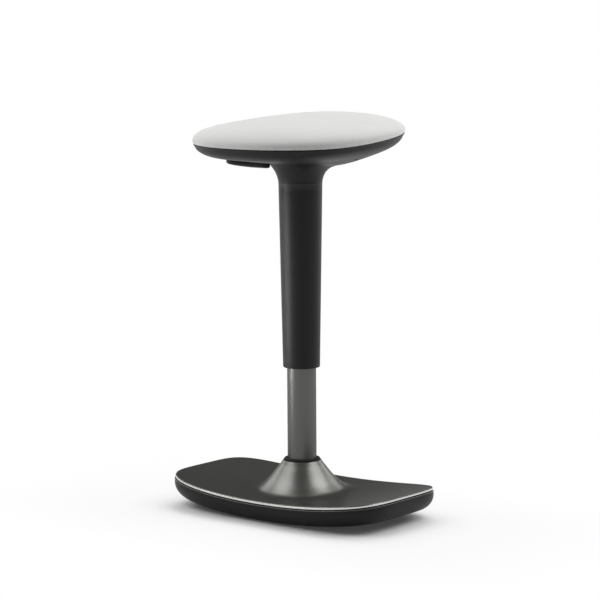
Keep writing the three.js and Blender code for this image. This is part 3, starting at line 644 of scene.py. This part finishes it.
def deck_cover():
    flare = through([
        (lerp(BOOT_TOP_RADIUS, BOOT_FOOT, out), lerp(RIM_HEIGHT, BOOT_TOP, up)) for out, up in BOOT_SHARES
    ], 6)
    edge = BASE_HALF_LENGTH - TRIM_WIDTH - TRIM_SIDE_GAP
    brim = BASE_HALF_LENGTH - TRIM_SHOWN
    lip = quarter((BOOT_THROAT + BOOT_LIP, BOOT_TOP - BOOT_LIP), (BOOT_LIP, BOOT_LIP), 180, 60, 4)
    under = RIM_HEIGHT - DECK_THICKNESS
    profile = [
        (BOOT_THROAT, BOOT_TOP - BOOT_LIP_DEPTH), *lip, *flare,
        *level(RIM_HEIGHT, BOOT_FOOT + DECK_MARGINS[0], brim - DECK_MARGINS[1], 18),
        *quarter((brim - DECK_EDGE, RIM_HEIGHT - DECK_EDGE), (DECK_EDGE, DECK_EDGE), 90, 0, 4),
        (brim, RIM_HEIGHT - DECK_LIP), (edge, RIM_HEIGHT - DECK_LIP),
        (edge, under), *level(under, edge - DECK_MARGINS[0], BOOT_UNDER, 10),
        *BOOT_INSIDE, (BOOT_TOP_RADIUS, BOOT_TOP - BOOT_INSIDE_TOP),
    ]
    piece = turned("deck_skin", profile, FACETS, rocking_deck)
    return dressed(piece, "base", DECK, "deck_metal", "deck_cover")


def edge_trim():
    outer = BASE_HALF_LENGTH
    inner = outer - TRIM_DEPTH
    top = RIM_HEIGHT - DECK_LIP - TRIM_TOP_GAP
    profile = rounded_corners([
        (inner, TRIM_BOTTOM), (outer, TRIM_BOTTOM), (outer, top), (inner, top),
    ], TRIM_EDGE)
    piece = turned("edge_trim_line", profile, FACETS, rocking)
    return dressed(piece, "base", TRIM, "trim_metal", "edge_trim")


def base_body():
    outer = BASE_HALF_LENGTH
    bulge = outer + BODY_BULGE
    corner = (bulge - BODY_CORNER_INSET, BODY_SKIRT + BODY_CORNER_HEIGHT)
    groove = BODY_TOP - GROOVE_HEIGHT
    profile = [
        *level(BODY_UNDERSIDE, 0, RIM_BAND + BODY_SKIRT_MARGINS[0], 24),
        (RIM_BAND + BODY_SKIRT_MARGINS[1], BODY_SKIRT),
        *quarter(corner, (BODY_CORNER_INSET, BODY_CORNER_HEIGHT), -90, 0, 10),
        *quarter((bulge - BODY_LIP, groove - BODY_LIP), (BODY_LIP, BODY_LIP), 0, 90, 6),
        (outer - GROOVE_DEPTH, groove), (outer - GROOVE_DEPTH, BODY_TOP),
        *[(outer - inset, BODY_TOP - depth) for inset, depth in BODY_INSIDE],
        *level(BODY_UNDERSIDE + BODY_FLOOR, outer - BODY_FLOOR_INSET, 0, 20),
    ]
    piece = turned("base_body_shell", profile, FACETS, rocking)
    recesses = []
    for x, y in screw_places():
        recesses.append(upright((x, y), SCREW_RECESS_RADIUS, BELOW_BASE, BASE_SCREW_SINK + rise(x)))
    dressed(cut(piece, recesses), "base", BODY_PLASTIC, "black_plastic", "base_body")
    # Upward-facing lip faces get the lighter plastic: a painted highlight where the shoulder catches light
    # from above
    piece.data.materials.append(LIP_PAINTED_HIGHLIGHT)
    for face in piece.data.polygons:
        depth = groove + rise(face.center.x) - face.center.z
        if face.normal.z > LIP_HIGHLIGHT_SLOPE and 0 < depth < BODY_LIP:
            face.material_index = 1
    return piece


def screw_places():
    x, y = END_SCREW
    return [(x, y), (-x, y), (-x, -y), (x, -y), SIDE_SCREW, (0, -SIDE_SCREW[1])]


def sole_pad():
    profile = [
        *level(0, 0, RIM_BAND - SOLE_MARGINS[0], 24),
        *quarter((RIM_BAND - SOLE_EDGE, SOLE_EDGE), (SOLE_EDGE, SOLE_EDGE), -90, 0, 4)[1:],
        (RIM_BAND, SOLE_THICKNESS), *level(SOLE_THICKNESS, RIM_BAND - SOLE_MARGINS[1], 0, 20),
    ]

    def on_floor(radius, angle, z):
        x, y, z = rocking(radius, angle, z)
        return x, y, max(0, z)

    piece = turned("sole_rubber", profile, FACETS, on_floor)
    return dressed(piece, "base", RUBBER, "black_rubber", "sole_pad")


def boot_seal():
    inner = COLUMN_RADIUS + SEAL_GAP
    stem = BOOT_THROAT - SEAL_GAP
    top = BOOT_TOP + SEAL_CAP
    profile = [
        (inner, BOOT_TOP - SEAL_DEPTH), (stem, BOOT_TOP - SEAL_DEPTH), (stem, BOOT_TOP + SEAL_GAP),
        *quarter((BOOT_THROAT + SEAL_REACH, BOOT_TOP + SEAL_BEAD_HEIGHT), SEAL_BEAD, -90, 90, 6),
        (inner + SEAL_EDGE, top), (inner, top - SEAL_EDGE),
    ]
    piece = turned("boot_seal_ring", profile, SEAL_FACETS)
    return dressed(piece, "base", RUBBER, "black_rubber", "boot_seal")


def column_tube():
    low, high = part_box("column_tube")
    bore = COLUMN_RADIUS - COLUMN_WALL
    profile = rounded_corners([
        (bore, low.z), (COLUMN_RADIUS, low.z), (COLUMN_RADIUS, high.z), (bore, high.z),
    ], COLUMN_EDGE)
    piece = turned("column_tube_round", profile, TUBE_FACETS)
    return dressed(piece, "base", COLUMN, "column_metal", "column_tube")


def column_sleeve():
    low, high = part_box("column_sleeve")
    foot = SLEEVE_BOTTOM_RADIUS
    start = low.z + SLEEVE_EDGE
    shares = [i / SLEEVE_RINGS for i in range(1, SLEEVE_RINGS + 1)]
    profile = [
        (foot - SLEEVE_WALL, low.z + SLEEVE_BEVEL),
        *quarter((foot - SLEEVE_EDGE, start), (SLEEVE_EDGE, SLEEVE_EDGE), -135, 0, 6),
        *[(lerp(foot, SLEEVE_TOP_RADIUS, share), lerp(start, high.z, share)) for share in shares],
        (SLEEVE_TOP_RADIUS - SLEEVE_WALL, high.z),
    ]
    piece = turned("sleeve_skin", profile, TUBE_FACETS)
    return dressed(piece, "seat", PLASTIC, "black_plastic", "column_sleeve")


# Seat

def seat_shell():
    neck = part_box("column_sleeve")[1].z + NECK_GAP
    outside = through([
        (lerp(SLEEVE_TOP_RADIUS, SEAT_HALF_WIDTH, out), lerp(neck, SEAT_BORDER, up))
        for out, up in SHELL_SHARES
    ], 6)
    rim, border = outside[-1]
    inside = [
        (max(r - SHELL_WALL * SHELL_LEAN, SLEEVE_TOP_RADIUS - SHELL_WALL), z + SHELL_WALL)
        for r, z in outside[::6] if z + SHELL_WALL < border - SHELL_INSIDE_END
    ]
    profile = [
        (SLEEVE_TOP_RADIUS - SHELL_WALL, neck), *outside[:-1],
        *quarter((rim - SHELL_EDGE, border - SHELL_EDGE), (SHELL_EDGE, SHELL_EDGE), 0, 90, 3),
        (rim - SHELL_WALL, border), *reversed(inside),
    ]
    piece = turned("seat_shell_dish", profile, FACETS, seat_formed)
    tools = [paddle_window()]
    for i in range(4):
        angle = i * math.pi / 2
        place = (SHELL_SCREW_CIRCLE * math.cos(angle), SHELL_SCREW_CIRCLE * math.sin(angle))
        tool = upright(place, SCREW_RECESS_RADIUS, BELOW_SHELL, SHELL_SCREW_LEVEL)
        tool.data.transform(on_pad_frame())
        tools.append(tool)
    return dressed(cut(piece, tools), "seat", PLASTIC, "black_plastic", "seat_shell")


def window_outline():
    """The window's plan, with X outwards along the lever: a round outer end and small inner corners."""
    half = PADDLE_WIDTH / 2 + WINDOW_SIDE_ROOM
    start = PADDLE_ROOT - WINDOW_SIDE_ROOM
    end = PADDLE_TIP + WINDOW_ROOM
    corner = half / 2
    return [
        *quarter((end - half, 0), (half, half), -90, 90, 24),
        *quarter((start + corner, half - corner), (corner, corner), 90, 180, 8),
        *quarter((start + corner, corner - half), (corner, corner), 180, 270, 8),
    ]


def paddle_window():
    """A solid that cuts the lever's window in the shell."""
    mesh = bmesh.new()
    face = mesh.faces.new([mesh.verts.new((x, y, WINDOW_BOTTOM)) for x, y in window_outline()])
    raised = bmesh.ops.extrude_face_region(mesh, geom=[face])["geom"]
    corners = [item for item in raised if isinstance(item, bmesh.types.BMVert)]
    bmesh.ops.translate(mesh, vec=(0, 0, WINDOW_HEIGHT), verts=corners)
    tool = as_object("tool", mesh)
    tool.data.transform(Matrix.Rotation(LEVER_AZIMUTH, 4, "Z"))
    return tool


def lever_paddle():
    """A soft-edged grip, lofted along its length between its lower and upper lines."""
    lower = through(PADDLE_LOWER_SHARES, 5)
    upper = through(PADDLE_UPPER_SHARES, 5)

    def height(line, share):
        for (a, low), (b, high) in zip(line, line[1:]):
            if a <= share <= b and b > a:
                return lerp(low, high, (share - a) / (b - a))
        return line[-1][1]

    half = PADDLE_WIDTH / 2
    length = PADDLE_TIP - PADDLE_ROOT
    mesh = bmesh.new()
    rings = []
    stations = [(1 - math.cos(math.pi * i / PADDLE_STATIONS)) / 2 for i in range(1, PADDLE_STATIONS)]
    for share in stations:
        along = PADDLE_ROOT + share * length
        past = max(0, along - (PADDLE_TIP - half)) / half
        before = max(0, PADDLE_ROOT + half / 2 - along) / (half / 2)
        width = half * math.sqrt(max(0, 1 - past**2)) - half / 2 * (1 - math.sqrt(max(0, 1 - before**2)))
        width *= lerp(PADDLE_WAIST[1], 1, ease(along, PADDLE_ROOT, PADDLE_ROOT + PADDLE_WAIST[0]))
        low = PADDLE_BOTTOM + PADDLE_HEIGHT * height(lower, share)
        high = PADDLE_BOTTOM + PADDLE_HEIGHT * height(upper, share) + PADDLE_RAISE
        ring = []
        for k in range(PADDLE_FACETS):
            y, z = outline(width, (high - low) / 2, PADDLE_POWERS, 2 * math.pi * k / PADDLE_FACETS)
            ring.append(mesh.verts.new((along, y, (low + high) / 2 + z)))
        rings.append(ring)
    for first, second in zip(rings, rings[1:]):
        for k in range(PADDLE_FACETS):
            after = (k + 1) % PADDLE_FACETS
            mesh.faces.new([first[k], first[after], second[after], second[k]])
    mesh.faces.new(rings[0])
    mesh.faces.new(rings[-1])
    piece = as_object("lever_grip", mesh)
    piece.data.transform(Matrix.Rotation(LEVER_AZIMUTH, 4, "Z"))
    # The paddle gets the lightened plastic: painted light against the shade under the shell
    return dressed(piece, "lever", LEVER_LIGHTENED_PLASTIC, "black_plastic", "lever_paddle")


def cushion():
    """The upholstered pad: a crowned dome, swollen by its filling and drawn in to the shell's border."""
    wide, high = PAD_SHRINK
    crown = through([(out * SEAT_HALF_WIDTH * wide, up * CROWN_HEIGHT * high) for out, up in CROWN_SHARES], 6)
    underside = level(PAD_UNDERSIDE, PAD_UNDERSIDE_START, crown[0][0] - PAD_UNDERSIDE_MARGIN, 10)
    profile = [(0, PAD_UNDERSIDE), *underside, *crown[:-1], (0, crown[-1][1])]
    piece = turned("cushion_cover", profile, FACETS, pad_formed)
    swollen(piece)
    dressed(piece, "seat", CLOTH, "seat_fabric", "seat_cover", "seat_foam")
    return piece


def swollen(piece):
    """A pad blown up by its filling: it takes the moves of an evenly meshed cloth copy that is held below."""
    piece.data.transform(on_pad_frame().inverted())
    mesh = bmesh.new()
    mesh.from_mesh(piece.data)
    cover = as_object("cover", mesh)
    remesh = cover.modifiers.new("remesh", "REMESH")
    remesh.mode = "VOXEL"
    remesh.voxel_size = PAD_VOXEL
    even = cover.modifiers.new("even", "SMOOTH")
    even.iterations = PAD_EVENING
    applied(cover)
    start = [v.co.copy() for v in cover.data.vertices]
    held = cover.vertex_groups.new(name="held")
    held.add([i for i, place in enumerate(start) if place.z < PAD_HELD], 1.0, "REPLACE")
    cloth = cover.modifiers.new("cloth", "CLOTH")
    cloth.settings.use_pressure = True
    cloth.settings.uniform_pressure_force = PAD_PRESSURE
    cloth.settings.effector_weights.gravity = 0
    cloth.settings.quality = PAD_QUALITY
    cloth.settings.tension_stiffness = PAD_STIFFNESS
    cloth.settings.compression_stiffness = PAD_STIFFNESS
    cloth.settings.shear_stiffness = PAD_STIFFNESS
    cloth.settings.bending_stiffness = PAD_BENDING
    cloth.settings.vertex_group_mass = held.name
    cloth.point_cache.frame_start = 1
    cloth.point_cache.frame_end = PAD_FRAMES
    for step in range(1, PAD_FRAMES + 1):
        bpy.context.scene.frame_set(step)
    applied(cover)
    bpy.context.scene.frame_set(1)
    moves = [vertex.co - place for vertex, place in zip(cover.data.vertices, start)]
    moves = [move * min(1, PAD_REACH / max(move.length, 1e-9)) for move in moves]
    beside = [[i] for i in range(len(moves))]
    for edge in cover.data.edges:
        a, b = edge.vertices
        beside[a].append(b)
        beside[b].append(a)
    for _ in range(PAD_EASING):
        moves = [sum((moves[k] for k in near), Vector()) / len(near) for near in beside]
    bpy.data.meshes.remove(cover.data)
    places = KDTree(len(start))
    for i, place in enumerate(start):
        places.insert(place, i)
    places.balance()
    for vertex in piece.data.vertices:
        total, weights = Vector(), 0
        for _, i, distance in places.find_n(vertex.co, PAD_NEAR):
            weight = math.exp(-(distance / PAD_VOXEL) ** 2)
            total += moves[i] * weight
            weights += weight
        vertex.co += total / weights
    piece.data.transform(on_pad_frame())


# The visible pieces, and the looks of the CAD's own nodes that stay: inner parts, screws and bolts

deck_cover()
edge_trim()
base_body()
sole_pad()
boot_seal()
column_tube()
column_sleeve()
seat_shell()
lever_paddle()
cushion()

NODE_LOOKS = {
    STEEL: ("socket_bolt", "base_screw", "shell_screw", "seat_bolt", "tube_end_plate", "bearing_lower_race",
            "bearing_upper_race", "piston_rod", "retaining_clip", "lever_pivot", "release_pin"),
    DARK_STEEL: ("rocker_plate", "column_socket", "pressure_tube", "seat_plate", "lever_housing", "taper_hub",
                 "lever_arm"),
    NYLON: ("piston", "bearing_cage", "guide_bushing", "rod_guide", "sleeve_glide"),
    RUBBER: ("bump_stop",),
    # The seat board's near-black is painted shade for the gap under the cushion
    SHADE_GAP_PLYWOOD: ("seat_board",),
}
for name, node in frame["nodes"].items():
    looks = [look for look, names in NODE_LOOKS.items() if name.startswith(names)]
    if looks:
        node.data.materials.clear()
        node.data.materials.append(looks[0])


# Floor, light and camera

def shown_rays(tree):
    """1 for a ray from the camera, a glossy or a clear surface, and 0 for light that spreads."""
    path = tree.nodes.new("ShaderNodeLightPath")
    value = path.outputs["Is Camera Ray"]
    for name in ("Is Glossy Ray", "Is Transmission Ray"):
        either = tree.nodes.new("ShaderNodeMath")
        either.operation = "MAXIMUM"
        tree.links.new(value, either.inputs[0])
        tree.links.new(path.outputs[name], either.inputs[1])
        value = either.outputs["Value"]
    return value


def floor():
    """A white floor that keeps the stool's shadow, adds a painted shadow halo round the base and fades to
    white.
    """
    data = bpy.data.meshes.new("floor")
    half = FLOOR_HALF_SIZE
    corners = [(-half, -half, 0), (half, -half, 0), (half, half, 0), (-half, half, 0)]
    data.from_pydata(corners, [], [(0, 1, 2, 3)])
    plane = bpy.data.objects.new("floor", data)
    bpy.context.scene.collection.objects.link(plane)
    made = bpy.data.materials.new("floor_white")
    made.use_nodes = True
    tree = made.node_tree
    tree.nodes.clear()
    matte = add(made, "ShaderNodeBsdfDiffuse", Color=(*FLOOR_COLOR, 1))
    glow = add(made, "ShaderNodeEmission", Color=(1, 1, 1, 1), Strength=1.0)
    place = stretched(made, (1 / BASE_HALF_LENGTH, 1 / BASE_HALF_WIDTH, 1), SHADOW_HALO_CENTRE)
    squared = add(made, "ShaderNodeVectorMath", Vector=place)
    squared.operation = "MULTIPLY"
    tree.links.new(place, squared.inputs[1])
    length = add(made, "ShaderNodeVectorMath", Vector=squared.outputs["Vector"])
    length.operation = "LENGTH"
    away = add(made, "ShaderNodeMath", Value=length.outputs["Value"])
    away.operation = "SQRT"
    # Less whitening near the base's outline leaves the floor's diffuse grey there: a painted shadow halo over
    # the rendered shadow
    share = add(made, "ShaderNodeMapRange", Value=away.outputs["Value"], From_Max=SHADOW_HALO_STOPS[-1][0])
    ramp = add(made, "ShaderNodeValToRGB", Fac=share.outputs["Result"])
    stops = ramp.color_ramp.elements
    while len(stops) < len(SHADOW_HALO_STOPS):
        stops.new(0.5)
    for stop, (reach, white) in zip(stops, SHADOW_HALO_STOPS):
        stop.position = reach / SHADOW_HALO_STOPS[-1][0]
        stop.color = (white, white, white, 1)
    lift = add(made, "ShaderNodeMath", Value=ramp.outputs["Color"])
    lift.operation = "MULTIPLY"
    tree.links.new(shown_rays(tree), lift.inputs[1])
    mix = add(made, "ShaderNodeMixShader", Fac=lift.outputs["Value"])
    tree.links.new(matte.outputs["BSDF"], mix.inputs[1])
    tree.links.new(glow.outputs["Emission"], mix.inputs[2])
    out = tree.nodes.new("ShaderNodeOutputMaterial")
    tree.links.new(mix.outputs["Shader"], out.inputs["Surface"])
    data.materials.append(made)


def world():
    """A studio that is white up to the horizon and dim above it, and white behind the stool in any view."""
    made = bpy.data.worlds.new("studio")
    bpy.context.scene.world = made
    made.use_nodes = True
    tree = made.node_tree
    background = tree.nodes["Background"]
    coordinates = tree.nodes.new("ShaderNodeTexCoord")
    split = tree.nodes.new("ShaderNodeSeparateXYZ")
    tree.links.new(coordinates.outputs["Generated"], split.inputs["Vector"])
    dim = add(made, "ShaderNodeMapRange", Value=split.outputs["Z"], From_Min=HORIZON[0], From_Max=HORIZON[1],
              To_Min=1.0, To_Max=DOME_SHINE)
    dim.interpolation_type = "SMOOTHSTEP"
    reflected = add(made, "ShaderNodeMapRange", Value=shown_rays(tree), To_Min=WORLD_LIGHT)
    tree.links.new(dim.outputs["Result"], reflected.inputs["To Max"])
    seen = tree.nodes.new("ShaderNodeLightPath").outputs["Is Camera Ray"]
    strength = add(made, "ShaderNodeMapRange", Value=seen, To_Max=1.0)
    tree.links.new(reflected.outputs["Result"], strength.inputs["To Min"])
    tree.links.new(strength.outputs["Result"], background.inputs["Strength"])
    background.inputs["Color"].default_value = (1, 1, 1, 1)


def softbox(name, side, towards, height, size, power, aim, spread):
    """A lamp that faces a height on the column's axis, set to the camera's right (side) and towards it."""
    right = Vector((math.cos(CAMERA_AZIMUTH), math.sin(CAMERA_AZIMUTH), 0))
    near = Vector((math.sin(CAMERA_AZIMUTH), -math.cos(CAMERA_AZIMUTH), 0))
    data = bpy.data.lights.new(name, "AREA")
    data.shape = "RECTANGLE"
    data.size, data.size_y = size
    data.energy = power
    data.spread = math.radians(spread)
    lamp = bpy.data.objects.new(name, data)
    bpy.context.scene.collection.objects.link(lamp)
    lamp.location = right * side + near * towards + Vector((0, 0, height))
    facing = Vector((0, 0, aim)) - lamp.location
    lamp.rotation_euler = facing.to_track_quat("-Z", "Y").to_euler()


def camera():
    data = bpy.data.cameras.new("camera")
    data.lens = CAMERA_LENS
    data.sensor_width = CAMERA_SENSOR
    data.shift_x, data.shift_y = CAMERA_SHIFT
    data.clip_end = CAMERA_CLIP
    made = bpy.data.objects.new("camera", data)
    bpy.context.scene.collection.objects.link(made)
    made.location = (math.sin(CAMERA_AZIMUTH) * CAMERA_REACH, -math.cos(CAMERA_AZIMUTH) * CAMERA_REACH,
                     CAMERA_HEIGHT)
    turn = Matrix.Rotation(CAMERA_AZIMUTH + CAMERA_YAW, 3, "Z")
    tilt = Matrix.Rotation(math.pi / 2 - CAMERA_PITCH, 3, "X")
    made.rotation_euler = (turn @ tilt @ Matrix.Rotation(CAMERA_ROLL, 3, "Z")).to_euler()
    bpy.context.scene.camera = made


camera()
floor()
world()
for lamp in SOFTBOXES:
    softbox(*lamp)
bpy.context.scene.view_settings.view_transform = "Standard"
